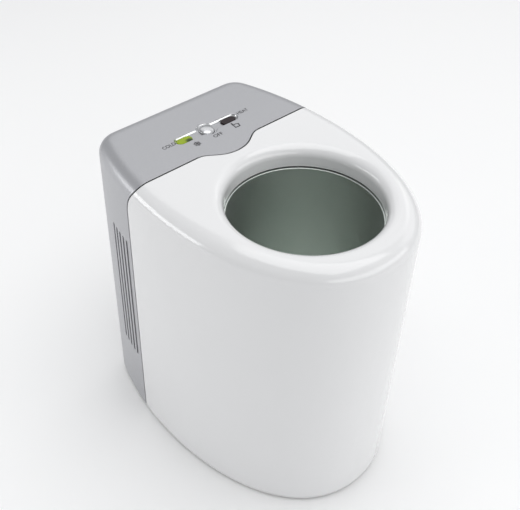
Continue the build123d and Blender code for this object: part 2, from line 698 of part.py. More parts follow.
with BuildPart() as mode_button:
    with BuildSketch(Plane.XY.offset(PLUNGER_TOP)):
        with Locations((0, PANEL_Y)):
            Circle(2.4)
    extrude(amount=BUTTON_FLANGE_TOP - PLUNGER_TOP)
    with BuildSketch(Plane.XY.offset(BUTTON_FLANGE_TOP - 1.2)):
        with Locations((0, PANEL_Y)):
            Circle(BUTTON_RADIUS + 1.5)
    extrude(amount=1.2)
    with BuildSketch(Plane(origin=(0, PANEL_Y, 0), x_dir=(0, 1, 0), z_dir=(1, 0, 0))):
        with BuildLine():
            crown = TOP + BUTTON_PROUD
            shoulder = crown - 1.5
            Polyline((0, crown), (0, BUTTON_FLANGE_TOP), (BUTTON_RADIUS, BUTTON_FLANGE_TOP))
            Line((BUTTON_RADIUS, BUTTON_FLANGE_TOP), (BUTTON_RADIUS, shoulder))
            Bezier(
                (BUTTON_RADIUS, shoulder),
                (BUTTON_RADIUS, shoulder + 0.9),
                (0.6 * BUTTON_RADIUS, crown),
                (0, crown),
            )
        make_face()
    revolve(axis=Axis((0, PANEL_Y, 0), (0, 0, 1)))
finish(mode_button.part, "mode_button")

for name, x in (("cold", -WINDOW_X), ("heat", WINDOW_X)):
    with BuildPart() as window:
        with BuildSketch(Plane.XY.offset(PAD_BOTTOM)):
            with Locations((x, PANEL_Y)):
                SlotOverall(*WINDOW_SIZE)
        extrude(amount=WINDOW_TOP - PAD_BOTTOM)
        fillet(window.faces().sort_by(Axis.Z)[-1].edges(), radius=0.3)
        with BuildSketch(Plane.XY.offset(PAD_BOTTOM - 1.2)):
            with Locations((x, PANEL_Y)):
                RectangleRounded(WINDOW_SIZE[0] + 2.6, WINDOW_SIZE[1] + 2.6, 1)
        extrude(amount=1.2)
    finish(window.part, f"{name}_window")
    with BuildPart() as lamp:
        with BuildSketch(Plane.XY.offset(BOARD_TOP)):
            with Locations((x, PANEL_Y)):
                Circle(2.9)
        extrude(amount=1)
        with BuildSketch(Plane.XY.offset(BOARD_TOP + 1)):
            with Locations((x, PANEL_Y)):
                Circle(2.5)
        extrude(amount=7)
        fillet(lamp.faces().sort_by(Axis.Z)[-1].edges(), radius=2.2)
    finish(lamp.part, f"{name}_lamp")

# ---------------------------------------------------------------- supply socket
SOCKET_BODY = (SOCKET_MOUTH[0] + 2 * SOCKET_WALL, SOCKET_MOUTH[1] + 2 * SOCKET_WALL)
SOCKET_FLOOR_Y = BACK_Y - SOCKET_DEPTH
with BuildPart() as dc_socket:
    with BuildSketch(upright_plane(SOCKET_FLOOR_Y - 2)):
        with Locations((SOCKET_X, -SOCKET_Z)):
            RectangleRounded(SOCKET_BODY[0] - 0.2, SOCKET_BODY[1] - 0.2, 2.9)
    extrude(amount=SOCKET_DEPTH + 2 - 0.3)
    # shoulder that stops it behind the back wall
    with BuildSketch(upright_plane(BACK_Y - WALL - 2)):
        with Locations((SOCKET_X, -SOCKET_Z)):
            RectangleRounded(SOCKET_BODY[0] + 4, SOCKET_BODY[1] + 4, 3)
    extrude(amount=2)
    with BuildSketch(upright_plane(SOCKET_FLOOR_Y)):
        with Locations((SOCKET_X, -SOCKET_Z)):
            RectangleRounded(*SOCKET_MOUTH, 1.6)
    extrude(amount=30, mode=Mode.SUBTRACT)
    with BuildSketch(upright_plane(SOCKET_FLOOR_Y - 4)):
        with Locations((SOCKET_X - PIN_X, -SOCKET_Z), (SOCKET_X + PIN_X, -SOCKET_Z)):
            Circle(PIN_RADIUS)
    extrude(amount=10, mode=Mode.SUBTRACT)
finish(dc_socket.part, "dc_socket")

for name, x in (("left", SOCKET_X - PIN_X), ("right", SOCKET_X + PIN_X)):
    with BuildPart() as pin:
        with BuildSketch(upright_plane(SOCKET_FLOOR_Y - 5)):
            with Locations((x, -SOCKET_Z)):
                Circle(PIN_RADIUS)
        extrude(amount=5 + PIN_LENGTH)
        fillet(pin.faces().sort_by(Axis.Y)[-1].edges(), radius=0.6)
    finish(pin.part, f"dc_pin_{name}")


# ---------------------------------------------------------------- leads
def lead(points, radii, radius=LEAD_RADIUS):
    """An insulated lead: straight runs joined by tangent arcs, one radius for each corner."""
    with BuildPart() as made:
        with BuildLine() as route:
            FilletPolyline(*points, radius=radii)
        with BuildSketch(Plane(origin=route.line @ 0, z_dir=route.line % 0)):
            Circle(radius)
        sweep()
    return made.part


BOARD_UNDER = BOARD_TOP - BOARD_THICK
lead_y = (COLD_FACE_Y + HOT_FACE_Y) / 2
for name, side in (("black", -1), ("red", 1)):
    pump_route = [
        (side * LEAD_X, lead_y, PUMP_Z + PUMP_SIDE / 2),
        (side * LEAD_X, lead_y, PUMP_Z + 54),
        (side * 13, PANEL_Y - 5, PUMP_Z + 58),
        (side * 13, PANEL_Y - 5, BOARD_UNDER),
    ]
    finish(lead(pump_route, [5, 4]), f"pump_lead_{name}")
    supply_x = SOCKET_X + side * PIN_X
    supply_route = [
        (supply_x, SOCKET_FLOOR_Y - 5, SOCKET_Z),
        (supply_x, SOCKET_FLOOR_Y - 13, SOCKET_Z),
        (46, FAN_FRONT - 6 + side * 1.6, SOCKET_Z + 12 - 2.5 * side),
        (46, FAN_FRONT - 10 + side * 1.6, PUMP_Z + 45),
        (28, PANEL_Y + side * 1.6, PUMP_Z + 59),
        (28, PANEL_Y + side * 1.6, BOARD_UNDER),
    ]
    finish(lead(supply_route, [4, 8, 9, 4]), f"supply_lead_{name}")

fan_route = [
    (-30, FAN_FRONT + 5, PUMP_Z + FAN_SIDE / 2),
    (-30, FAN_FRONT + 5, PUMP_Z + FAN_SIDE / 2 + 12),
    (-27, PANEL_Y + 4, BOARD_UNDER - 10),
    (-27, PANEL_Y + 4, BOARD_UNDER),
]
finish(lead(fan_route, [4, 4], 1.2), "fan_lead")
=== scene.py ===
# %% [markdown]
# # A one-bottle cooler, from its solids to its finishes
#
# The solids of the cooler come ready made, each piece in its own place and at its real size. This
# lesson gives them their looks. It loads the solids, places a camera, lays a floor and hangs soft
# lights. After that it makes the finishes one at a time, from the white shell to the control board.
# Last it prints the words and signs on the top.

import json
from math import atan2, cos, pi, radians, sin, tau

import bmesh
import bpy
from mathutils import Matrix, Vector


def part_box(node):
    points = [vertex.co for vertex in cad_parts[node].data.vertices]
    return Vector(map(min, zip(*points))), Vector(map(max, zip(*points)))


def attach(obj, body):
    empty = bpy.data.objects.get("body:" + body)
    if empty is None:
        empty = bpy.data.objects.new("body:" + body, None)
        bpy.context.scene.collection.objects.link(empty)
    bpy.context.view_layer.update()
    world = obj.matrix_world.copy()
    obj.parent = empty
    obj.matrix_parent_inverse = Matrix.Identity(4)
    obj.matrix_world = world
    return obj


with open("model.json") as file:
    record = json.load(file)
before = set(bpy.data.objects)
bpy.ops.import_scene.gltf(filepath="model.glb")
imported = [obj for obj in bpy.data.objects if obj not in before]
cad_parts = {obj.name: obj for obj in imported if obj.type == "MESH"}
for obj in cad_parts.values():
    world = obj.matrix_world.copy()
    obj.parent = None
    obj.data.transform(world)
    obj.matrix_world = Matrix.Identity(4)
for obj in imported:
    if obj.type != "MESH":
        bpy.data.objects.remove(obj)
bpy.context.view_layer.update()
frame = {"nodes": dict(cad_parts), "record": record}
MM = 0.001
slot_of = {row["node"]: row["material_slot"] for row in frame["record"]["subparts"]}
print("solids:", len(frame["nodes"]), "slots:", len(set(slot_of.values())))

# %% [markdown]
# ## Places to work from
#
# The camera and some of the finishes follow the solids. Their places could be typed in, but a
# place that is measured stays right when a solid changes. The height of the top and the axis of
# the well are measured here, and later cells measure their own in the same way.

# %% Measure the solids
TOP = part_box("front_shell")[1].z
WELL_CENTRE = sum(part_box("well_cup"), Vector()) / 2
well_mouth = Vector((WELL_CENTRE.x, WELL_CENTRE.y, TOP))
print("top at", round(TOP / MM, 1), "mm, well axis at y", round(WELL_CENTRE.y / MM, 1), "mm")

# %% [markdown]
# ## The camera
#
# A small appliance is shown from above one front corner, so that the top, the rounded front and the
# side with the air slots all show. The camera stands on a sphere about the mouth of the well. Two
# angles and a distance place it, which is easier to think about than a position and a rotation
# matrix. A little roll leans it, and its aim is then moved to the left and down.

# %% Place the camera
CAMERA_AZIMUTH = radians(-43.75)
CAMERA_ELEVATION = radians(41.82)
CAMERA_ROLL = radians(2.17)
CAMERA_DISTANCE = 0.4085
CAMERA_LENS = 58.41
CAMERA_CLIP = 0.01
AIM_SHIFT = Vector((-22.45, -29.0, 0)) * MM


def way_to(azimuth, elevation):
    """The direction at these angles: azimuth 0 is in front, and 90 degrees is to the right."""
    flat = cos(elevation)
    return Vector((sin(azimuth) * flat, -cos(azimuth) * flat, sin(elevation)))


towards = way_to(CAMERA_AZIMUTH, CAMERA_ELEVATION)
turn = towards.to_track_quat("Z", "Y").to_matrix() @ Matrix.Rotation(CAMERA_ROLL, 3, "Z")
camera_data = bpy.data.cameras.new("camera")
camera_data.lens = CAMERA_LENS
camera_data.clip_start = CAMERA_CLIP
camera = bpy.data.objects.new("camera", camera_data)
bpy.context.scene.collection.objects.link(camera)
aim = well_mouth + turn @ AIM_SHIFT
camera.matrix_world = Matrix.Translation(aim + towards * CAMERA_DISTANCE) @ turn.to_4x4()
bpy.context.scene.camera = camera
print("camera at", [round(x, 3) for x in camera.matrix_world.translation])

# %% [markdown]
# ## A small language for finishes
#
# A finish is a graph of shader nodes. Written out node by node it is hard to read, so a small class
# lets ordinary arithmetic build the graph: `grain * 0.2 + 0.4` adds its own Math nodes. The forms
# with an r in front are the ones that Python asks for when the number comes first, as in
# `1 - beads`.


# %% Values
class Value:
    """A shader socket that takes part in arithmetic."""

    def __init__(self, board, socket):
        self.board = board
        self.socket = socket

    def math(self, operation, *terms):
        """The result of a Math node on these terms."""
        return self.board.node("Math", terms, operation=operation)

    def __add__(self, other):
        return self.math("ADD", self, other)

    def __rsub__(self, other):
        return self.math("SUBTRACT", other, self)

    def __mul__(self, other):
        return self.math("MULTIPLY", self, other)

    __radd__ = __add__
    __rmul__ = __mul__


# %% [markdown]
# Every other node comes from one method of a board. It sets what kind of node it is first, because
# the sockets of some nodes change with their settings, and only then fills or links the sockets.
# The air round the cooler has a board of its own, and so has each finish.


# %% Boards
class Board:
    """The shader nodes of a material or of the world."""

    def __init__(self, owner):
        owner.use_nodes = True
        self.tree = owner.node_tree

    def feed(self, socket, value):
        """Sets a socket to a value, or links it to one."""
        if isinstance(value, Value):
            self.tree.links.new(value.socket, socket)
        else:
            socket.default_value = value

    def node(self, kind, inputs=(), output=0, stops=(), **settings):
        """Adds a node: inputs in order, or by name or number; stops for a colour ramp."""
        made = self.tree.nodes.new("ShaderNode" + kind)
        for name, value in settings.items():
            setattr(made, name, value)
        for i, (place, shade) in enumerate(stops):
            elements = made.color_ramp.elements
            element = elements[i] if i < len(elements) else elements.new(place)
            element.position = place
            element.color = (*shade, 1)
        pairs = inputs.items() if isinstance(inputs, dict) else enumerate(inputs)
        for key, value in pairs:
            self.feed(made.inputs[key], value)
        return Value(self, made.outputs[output])


# %% [markdown]
# A finish is a material with its board, and with names for the patterns that come back in every
# finish. All of them are measured in Object coordinates, which are metres here, so the size of a
# grain is its real size, and the pattern stays on its piece when the piece moves.

# %% Finishes
MIX_DARK, MIX_LIGHT, MIX_COLOUR = 6, 7, 2  # the Mix node's two colours and its result, by number
EDGE_SAMPLES = 8


class Finish(Board):
    """A material, its shader and its patterns."""

    def __init__(self, name, **constants):
        self.material = bpy.data.materials.new(name)
        super().__init__(self.material)
        self.shader = self.tree.nodes["Principled BSDF"]
        self.surface(**constants)

    def surface(self, **inputs):
        """Feeds the shader: base_color= goes to the socket Base Color, and so on."""
        names = {socket.name.lower().replace(" ", "_"): socket for socket in self.shader.inputs}
        for key, value in inputs.items():
            self.feed(names[key], value)

    def place(self, size=(1, 1, 1), centre=(0, 0, 0)):
        """Object coordinates about a centre, in units of size metres along each axis."""
        here = self.node("TexCoord", output="Object")
        centred = self.node("VectorMath", [here, centre], operation="SUBTRACT")
        return self.node("VectorMath", [centred, size], operation="DIVIDE")

    def reach(self, place, stretch=(1, 1, 0)):
        """How far a place is from its centre. A stretch of 0 leaves an axis out."""
        flat = self.node("VectorMath", [place, stretch], operation="MULTIPLY")
        return self.node("VectorMath", [flat], output=1, operation="LENGTH")

    def grain(self, size, detail=2.0, roughness=0.5):
        """Noise from 0 to 1. The size of its grains is one number, or one for each axis."""
        sizes = size if isinstance(size, tuple) else (size,) * 3
        inputs = {"Vector": self.place(sizes), "Scale": 1.0, "Detail": detail}
        inputs["Roughness"] = roughness
        return self.node("TexNoise", inputs)

    def cells(self, size, distance="EUCLIDEAN"):
        """Distance from the middle of the nearest cell, for cells of about size metres."""
        inputs = {"Vector": self.place((size,) * 3), "Scale": 1.0}
        return self.node("TexVoronoi", inputs, distance=distance)

    def shades(self, factor, dark, light):
        """A colour between two colours."""
        inputs = {"Factor": factor, MIX_DARK: (*dark, 1), MIX_LIGHT: (*light, 1)}
        return self.node("Mix", inputs, output=MIX_COLOUR, data_type="RGBA")

    def bump(self, height, depth, normal=None):
        """A normal from a height of 0 to 1, where depth is in metres."""
        inputs = {"Height": height, "Distance": depth}
        if normal:
            inputs["Normal"] = normal
        return self.node("Bump", inputs)

    def soft_edge(self, radius):
        """The normal of an edge that is rounded by radius metres."""
        return self.node("Bevel", {"Radius": radius}, samples=EDGE_SAMPLES)


def wear(slot, material):
    """Gives a finish to every solid of a slot."""
    worn = [name for name in frame["nodes"] if slot_of[name] == slot]
    for name in worn:
        materials = frame["nodes"][name].data.materials
        materials.clear()
        materials.append(material)
    print(material.name, "on", ", ".join(worn))


# %% [markdown]
# ## The floor
#
# White things on a white ground are shaped by what they mirror, so the floor is a plain pale sheet
# with hardly any gloss of its own. Far out, only the dim world lights it, and a large floor draws a
# dark band behind the cooler. A small one keeps that band out of most views. Past the low panel on
# the left a grey strip of it remains, which shows when the cooler is seen from the right.

# %% Lay the floor
FLOOR_COLOUR = (0.96, 0.96, 0.96, 1)
FLOOR_HALF = 1.2


def add_mesh(name, bm):
    """Turns a bmesh into an object that stands at the origin."""
    mesh = bpy.data.meshes.new(name)
    bm.to_mesh(mesh)
    bm.free()
    made = bpy.data.objects.new(name, mesh)
    bpy.context.scene.collection.objects.link(made)
    return made


bm = bmesh.new()
bmesh.ops.create_grid(bm, x_segments=1, y_segments=1, size=FLOOR_HALF)
floor = add_mesh("floor", bm)
pale = Finish("pale_floor", base_color=FLOOR_COLOUR, roughness=0.9, specular_ior_level=0.1)
floor.data.materials.append(pale.material)
print("floor", [round(x, 2) for x in floor.dimensions], "m")

# %% [markdown]
# ## The air
#
# The world is an even, rather dim white, so that the panels that follow can be seen as bright
# shapes in the gloss. Where it is seen directly, past the edge of the floor, it has to be as bright
# as the floor, so that no dark horizon shows. One strength can't do both. The Light Path node tells
# the two apart, and arithmetic picks the strength.

# %% Fill the world
WORLD_COLOUR = (0.965, 0.98, 1, 1)
WORLD_STRENGTH = 0.34
BACKGROUND_STRENGTH = 0.95

world = bpy.data.worlds.new("studio")
air = Board(world)
background = air.tree.nodes["Background"]
seen_directly = air.node("LightPath", output="Is Camera Ray")
strength = WORLD_STRENGTH + seen_directly * (BACKGROUND_STRENGTH - WORLD_STRENGTH)
air.feed(background.inputs["Color"], WORLD_COLOUR)
air.feed(background.inputs["Strength"], strength)
bpy.context.scene.world = world
bpy.context.scene.view_settings.view_transform = "Standard"
print("world", WORLD_STRENGTH, "as a light, and", BACKGROUND_STRENGTH, "as a background")

# %% [markdown]
# ## The light panels
#
# Each panel is an area light. What the gloss mirrors is a panel's brightness, and what lights the
# body is its brightness times its size, so the panels are given by brightness and the power is
# worked out. One hangs overhead and one high at the back, for the top. A low one stands behind the
# left side, and draws the bright band along the left edge of the top. A wide one in front and one
# on the right make those sides the lighter ones.

# %% Set up the panels
PANELS = {
    # azimuth and elevation in degrees; distance, width and height in metres; brightness
    "panel_above": (20, 84, 1.3, 1.4, 1.4, 1.75),
    "panel_back": (140, 42, 1.3, 1.5, 0.8, 0.72),
    "panel_left": (-130, 10, 0.8, 0.62, 0.22, 3.4),
    "panel_front": (12, 17, 1.3, 2.4, 0.5, 1.5),
    "panel_right": (88, 30, 1.3, 1.0, 0.6, 0.6),
}
body_middle = Vector((0, 0, TOP / 2))
for name, (azimuth, elevation, distance, width, height, brightness) in PANELS.items():
    data = bpy.data.lights.new(name, "AREA")
    data.shape = "RECTANGLE"
    data.size, data.size_y = width, height
    data.energy = brightness * pi * width * height
    light = bpy.data.objects.new(name, data)
    light.visible_camera = False
    bpy.context.scene.collection.objects.link(light)
    way = way_to(radians(azimuth), radians(elevation))
    facing = way.to_track_quat("Z", "Y").to_matrix().to_4x4()
    light.matrix_world = Matrix.Translation(body_middle + way * distance) @ facing
    print(name, round(data.energy, 1), "W")

# %% [markdown]
# ## The white shell
#
# The body is glossy white plastic, injection moulded. A plain white with a low roughness would be
# near, but a real moulding isn't a perfect mirror: it has a very shallow ripple a few millimetres
# long, and its gloss changes a little from place to place. The rim at the seam is rounded by a
# fraction of a millimetre, which catches a thin line of light. A Bevel node gives that line
# without more faces.

# %% White gloss
white = Finish("white_gloss_moulding", ior=1.6, coat_roughness=0.04)
cloud = white.grain(50 * MM, detail=3)
ripple = white.grain(7 * MM, detail=1)
specks = white.grain(0.5 * MM, detail=3)
white.surface(
    base_color=white.shades(cloud, (0.790, 0.791, 0.797), (0.810, 0.811, 0.815)),
    roughness=0.10 + cloud * 0.05 + specks * 0.03,
    coat_weight=0.25 + cloud * 0.2,
    normal=white.bump(ripple, depth=0.006 * MM, normal=white.soft_edge(0.5 * MM)),
)
wear("white_shell", white.material)

# %% [markdown]
# ## The grey housing
#
# The back is the same plastic under a satin silver-grey paint. The paint holds tiny metal flakes,
# so it is a little metallic and has a very fine sparkle. Real flakes would be millions of specks,
# so a noise of about a tenth of a millimetre stands for them: it moves the colour, the roughness
# and how metallic the skin is. The skin itself has the faint orange peel that sprayed paint dries
# to.

# %% Grey satin paint
FLAKE_DARK, FLAKE_BRIGHT = (0.36, 0.362, 0.378), (0.54, 0.545, 0.568)

grey = Finish("grey_satin_paint", ior=1.5)
flake = grey.grain(0.13 * MM, detail=2, roughness=0.6)
cloud = grey.grain(45 * MM, detail=3)
peel = grey.grain(1.1 * MM, detail=2)
grey.surface(
    base_color=grey.node("ValToRGB", [flake], stops=[(0.3, FLAKE_DARK), (0.75, FLAKE_BRIGHT)]),
    metallic=0.20 + flake * 0.35,
    roughness=0.30 + cloud * 0.05 + flake * 0.06,
    normal=grey.bump(peel, depth=0.004 * MM, normal=grey.soft_edge(0.45 * MM)),
)
wear("grey_paint", grey.material)

# %% [markdown]
# ## The cup of the well
#
# The cup is drawn from aluminium sheet and then turned, so its wall has fine lines that run round
# it, and its floor has rings. They could be two patterns on two parts of the cup. Instead both come
# from one noise: it is squeezed along the height plus the distance from the axis, which is the
# height on the wall and the distance on the floor. Satin anodising leaves it pale and soft.

# %% Drawn aluminium
LINE_WIDTH = 0.22 * MM
LINE_LENGTH = 40 * MM

cup = Finish("drawn_aluminium", metallic=1.0)
from_axis = cup.place(centre=(WELL_CENTRE.x, WELL_CENTRE.y, 0))
across, deep, up = [cup.node("SeparateXYZ", [from_axis], output=i) for i in range(3)]
along_wall = up + cup.reach(from_axis)
squeezed = [across * (1 / LINE_LENGTH), deep * (1 / LINE_LENGTH), along_wall * (1 / LINE_WIDTH)]
turned = cup.node("CombineXYZ", squeezed)
lines = cup.node("TexNoise", {"Vector": turned, "Scale": 1.0, "Detail": 4.0, "Roughness": 0.6})
cloud = cup.grain(22 * MM, detail=4)
cup.surface(
    # The faint green cast in both shades is a painted reflection, not a colour of the aluminium.
    base_color=cup.shades(cloud * 0.6 + lines * 0.4, (0.74, 0.80, 0.76), (0.86, 0.89, 0.86)),
    roughness=0.24 + lines * 0.2 + cloud * 0.06,
    normal=cup.bump(lines, depth=0.012 * MM, normal=cup.soft_edge(0.3 * MM)),
)
wear("cup_aluminium", cup.material)

# %% [markdown]
# ## The button
#
# The button is plated plastic: a bright skin with a soft satin haze. A low roughness alone would
# make a perfect chrome, so the haze is a fine noise, and a wash of a few millimetres changes the
# shade a little across the dome.

# %% Plated button
plated = Finish("plated_button", metallic=1.0)
haze = plated.grain(0.25 * MM, detail=3)
wash = plated.grain(6 * MM, detail=2)
plated.surface(
    base_color=plated.shades(wash, (0.60, 0.605, 0.62), (0.68, 0.685, 0.70)),
    roughness=0.27 + haze * 0.05,
    normal=plated.bump(haze, depth=0.0003 * MM),
)
wear("silver_button", plated.material)

# %% [markdown]
# ## The windows
#
# The window at the cold end is a clear green light pipe with its lamp on. Light comes up through
# it, its inner end lies in the shadow of the switch, and fine ribs inside spread the light. That
# shadow is painted: the colour and the glow grow darker towards a place beside the switch. The
# other window is the same in dark red, unlit. Clear plastic over a lamp would be slow to render and
# noisy at this size, so the colour and a faint glow stand for the depth of the plastic.

# %% Window lenses
COLD_CENTRE = sum(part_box("cold_window"), Vector()) / 2
RIB = 0.7 * MM
BANDS_PER_UNIT = 3.2  # of a Wave texture
# The painted shadow of the switch: where it lies, how far it reaches, its stretch and its edges.
SWITCH_SHADOW = COLD_CENTRE + Vector((2.0, -1.6, 0)) * MM
SHADOW_REACH = 2.2 * MM
SHADOW_STRETCH = (0.7, 1, 0)
SHADOW_INNER, SHADOW_OUTER = 0.35, 0.95


def make_lens(name, slot, dark, light, glow, ior):
    """A ribbed lens going from dark in a painted shadow to light, with a glow of that strength."""
    lens = Finish(name, ior=ior, emission_strength=glow)
    bands = lens.place((RIB * BANDS_PER_UNIT,) * 3)
    ribs = lens.node("TexWave", {"Vector": bands, "Scale": 1.0, "Distortion": 0.6})
    # Painted shadow: the colour and the glow darken near the switch.
    from_shadow = lens.place((SHADOW_REACH,) * 3, centre=SWITCH_SHADOW)
    far = lens.reach(from_shadow, SHADOW_STRETCH)
    lit = lens.node("MapRange", [far, SHADOW_INNER, SHADOW_OUTER])
    mottle = lens.grain(0.8 * MM, detail=2)
    body = lens.shades(lit * (0.5 + ribs * 0.3 + mottle * 0.3), dark, light)
    lens.surface(
        base_color=body,
        emission_color=body,
        roughness=0.10 + mottle * 0.08,
        normal=lens.bump(ribs, depth=0.02 * MM, normal=lens.soft_edge(0.2 * MM)),
    )
    wear(slot, lens.material)


make_lens("lit_green_lens", "cold_lens", (0.018, 0.036, 0.001), (0.27, 0.37, 0.003), 0.30, 1.36)
make_lens("dark_red_lens", "heat_lens", (0.004, 0.002, 0.003), (0.016, 0.006, 0.008), 0.0, 1.30)

# %% [markdown]
# ## The bright lining of the recess
#
# The controls lie in a shallow bar-shaped recess, and a bright plated strip slopes from its wall
# down to its floor, so that the far side shines. The strip has to follow the wall exactly. Drawing
# its outline again would only come near, so it is made from the wall: a copy of the housing keeps
# only the upright faces of the recess, the foot of that wall is moved inwards, and solidify gives
# it a tenth of a millimetre of thickness.

# %% Cut out the wall of the recess
BUTTON_CENTRE = sum(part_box("mode_button"), Vector()) / 2
RECESS_LOW = TOP - 1.6 * MM
RECESS_REACH = Vector((21.6, 6.3, 0)) * MM
UPRIGHT = 0.1  # the most that the normal of an upright face leans up or down
WELD = 0.001 * MM


def in_recess_wall(face):
    """Whether a face belongs to the upright wall of the recess."""
    centre = face.calc_center_median()
    near = abs(centre.x) < RECESS_REACH.x and abs(centre.y - BUTTON_CENTRE.y) < RECESS_REACH.y
    return near and centre.z > RECESS_LOW and abs(face.normal.z) < UPRIGHT


bm = bmesh.new()
bm.from_mesh(frame["nodes"]["rear_housing"].data)
bmesh.ops.remove_doubles(bm, verts=bm.verts, dist=WELD)
bm.normal_update()
others = [face for face in bm.faces if not in_recess_wall(face)]
bmesh.ops.delete(bm, geom=others, context="FACES")
bm.normal_update()
print("faces of the recess wall:", len(bm.faces))

# %% [markdown]
# What is left of the copy is one ribbon. The lower row of its corners moves inwards, each along its
# own normal, and the ribbon becomes a slope. Solidify makes it a closed strip. Its rims are sharp
# and its faces smooth: smooth everywhere, the narrow rims would bend the light of the whole strip.

# %% Slope the lining
LINING_SLOPE = 0.9 * MM
LINING_THICK = 0.10 * MM
SHARP_ANGLE = radians(35)

for vert in bm.verts:
    if vert.co.z < RECESS_LOW + LINING_THICK:
        vert.co += Vector((vert.normal.x, vert.normal.y, 0)).normalized() * LINING_SLOPE
bmesh.ops.solidify(bm, geom=bm.faces[:], thickness=LINING_THICK)
bmesh.ops.recalc_face_normals(bm, faces=bm.faces)
for face in bm.faces:
    face.smooth = True
lining = add_mesh("recess_lining", bm)
lining.data.set_sharp_from_angle(angle=SHARP_ANGLE)

bright = Finish("bright_plated_lining", metallic=1.0)
haze = bright.grain(0.3 * MM, detail=3)
bright.surface(
    base_color=bright.shades(haze, (0.86, 0.865, 0.87), (0.93, 0.935, 0.94)),
    roughness=0.20 + haze * 0.08,
)
lining.data.materials.append(bright.material)
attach(lining, "housing")
print("lining, sides", [round(x / MM, 2) for x in lining.dimensions], "mm")

# %% [markdown]
# ## The plastics that are seen from below and behind
#
# The base plate is left with the fine spark texture of its mould, which hides scratches. Black
# parts such as the socket and the fan are glass-filled plastic: a satin black with a slightly
# cloudy skin. Rubber is duller still, with a skin of tiny pits. They differ in numbers and not in
# kind, so one helper makes them all from a table of shades, grain and depth.

# %% Matt and satin plastics
PLASTIC_CLOUD = 30 * MM
PLASTIC_EDGE = 0.2 * MM
PLASTICS = {
    # slot: name, dark shade, light shade, grain and depth in millimetres, roughness
    "base_plastic": (
        "spark_textured_base", (0.70, 0.70, 0.70), (0.80, 0.80, 0.79), 0.35, 0.03, 0.42,
    ),
    "black_plastic": (
        "satin_black_plastic", (0.014, 0.014, 0.016), (0.030, 0.030, 0.033), 0.4, 0.015, 0.30,
    ),
    "black_rubber": (
        "pitted_rubber", (0.012, 0.012, 0.012), (0.026, 0.026, 0.026), 0.3, 0.03, 0.60,
    ),
    "black_sleeve": (
        "black_lead_sleeve", (0.013, 0.013, 0.014), (0.03, 0.03, 0.03), 0.6, 0.01, 0.36,
    ),
    "red_sleeve": (
        "red_lead_sleeve", (0.33, 0.012, 0.010), (0.44, 0.022, 0.016), 0.6, 0.01, 0.36,
    ),
    "ceramic": (
        "white_ceramic", (0.74, 0.74, 0.72), (0.82, 0.82, 0.80), 0.15, 0.006, 0.34,
    ),
}


def make_plastic(slot, name, dark, light, grain, depth, roughness):
    """Plastic, rubber or ceramic with a grain of one size and a faint change of shade."""
    plastic = Finish(name, ior=1.48)
    pits = plastic.grain(grain * MM, detail=3, roughness=0.6)
    cloud = plastic.grain(PLASTIC_CLOUD, detail=3)
    plastic.surface(
        base_color=plastic.shades(pits * 0.5 + cloud * 0.5, dark, light),
        roughness=roughness + pits * 0.15 + cloud * 0.06,
        normal=plastic.bump(pits, depth * MM, plastic.soft_edge(PLASTIC_EDGE)),
    )
    wear(slot, plastic.material)


for slot, row in PLASTICS.items():
    make_plastic(slot, *row)

# %% [markdown]
# ## The metals
#
# The fins are extruded, so fine lines run along them, and the cold block is cast and then milled
# flat. Screws are steel with a thin bright zinc coat, which has a faint blue and yellow cast in
# patches. The pins of the socket and the sleeve of the fan are brass. All of them are one helper
# again: a stretched noise for the tool lines, a soft one for the patches.

# %% Turned, milled and drawn metals
METAL_PATCH = 3 * MM
METAL_EDGE = 0.15 * MM
METALS = {
    # slot: name, dark shade, light shade, tool lines along each axis and depth in mm, roughness
    "sink_aluminium": (
        "extruded_fins", (0.60, 0.61, 0.62), (0.72, 0.725, 0.73), (0.2, 0.2, 30), 0.01, 0.28,
    ),
    "cast_aluminium": (
        "cast_block", (0.52, 0.525, 0.53), (0.66, 0.665, 0.67), (0.6, 0.6, 0.6), 0.03, 0.36,
    ),
    "zinc_steel": (
        "zinc_coat", (0.60, 0.61, 0.66), (0.74, 0.73, 0.70), (0.12, 0.12, 0.12), 0.004, 0.22,
    ),
    "brass_sleeve": (
        "turned_brass", (0.62, 0.47, 0.21), (0.76, 0.61, 0.30), (4, 0.1, 4), 0.006, 0.20,
    ),
    "solder_metal": (
        "dull_tinned_metal", (0.36, 0.35, 0.34), (0.50, 0.49, 0.48), (0.3, 0.3, 0.3), 0.01, 0.38,
    ),
}


def make_metal(slot, name, dark, light, lines, depth, roughness):
    """Bare metal with tool lines and soft patches."""
    metal = Finish(name, metallic=1.0)
    tool = metal.grain(tuple(line * MM for line in lines), detail=4, roughness=0.6)
    patch = metal.grain(METAL_PATCH, detail=3)
    metal.surface(
        base_color=metal.shades(patch, dark, light),
        roughness=roughness + tool * 0.18 + patch * 0.06,
        normal=metal.bump(tool, depth * MM, metal.soft_edge(METAL_EDGE)),
    )
    wear(slot, metal.material)


for slot, row in METALS.items():
    make_metal(slot, *row)

# %% [markdown]
# ## The foam
#
# The jacket round the cup is bead foam: beads three millimetres across, pressed together until
# they are flat where they meet. Modelling each bead would take thousands of faces. A Voronoi
# texture is cells that meet just like that, so it gives the relief, and a painted shade that makes
# each bead darker towards the creases where it meets the next.

# %% Bead foam
foam = Finish("bead_foam")
beads = foam.cells(3 * MM)
skin = foam.grain(0.4 * MM, detail=3)
foam.surface(
    # Painted shade: each bead is darker towards the creases between the beads.
    base_color=foam.shades(beads, (0.84, 0.84, 0.83), (0.70, 0.70, 0.69)),
    roughness=0.62 + skin * 0.2,
    normal=foam.bump(1 - beads + skin * 0.2, depth=0.25 * MM),
)
wear("foam", foam.material)

# %% [markdown]
# ## The board
#
# The control board is green solder mask over copper tracks, and where copper runs beneath it the
# mask stands a little higher and looks lighter. Drawn tracks would need a map of their own. Voronoi
# cells measured along the axes come out blocky, which is enough for a board inside a housing.

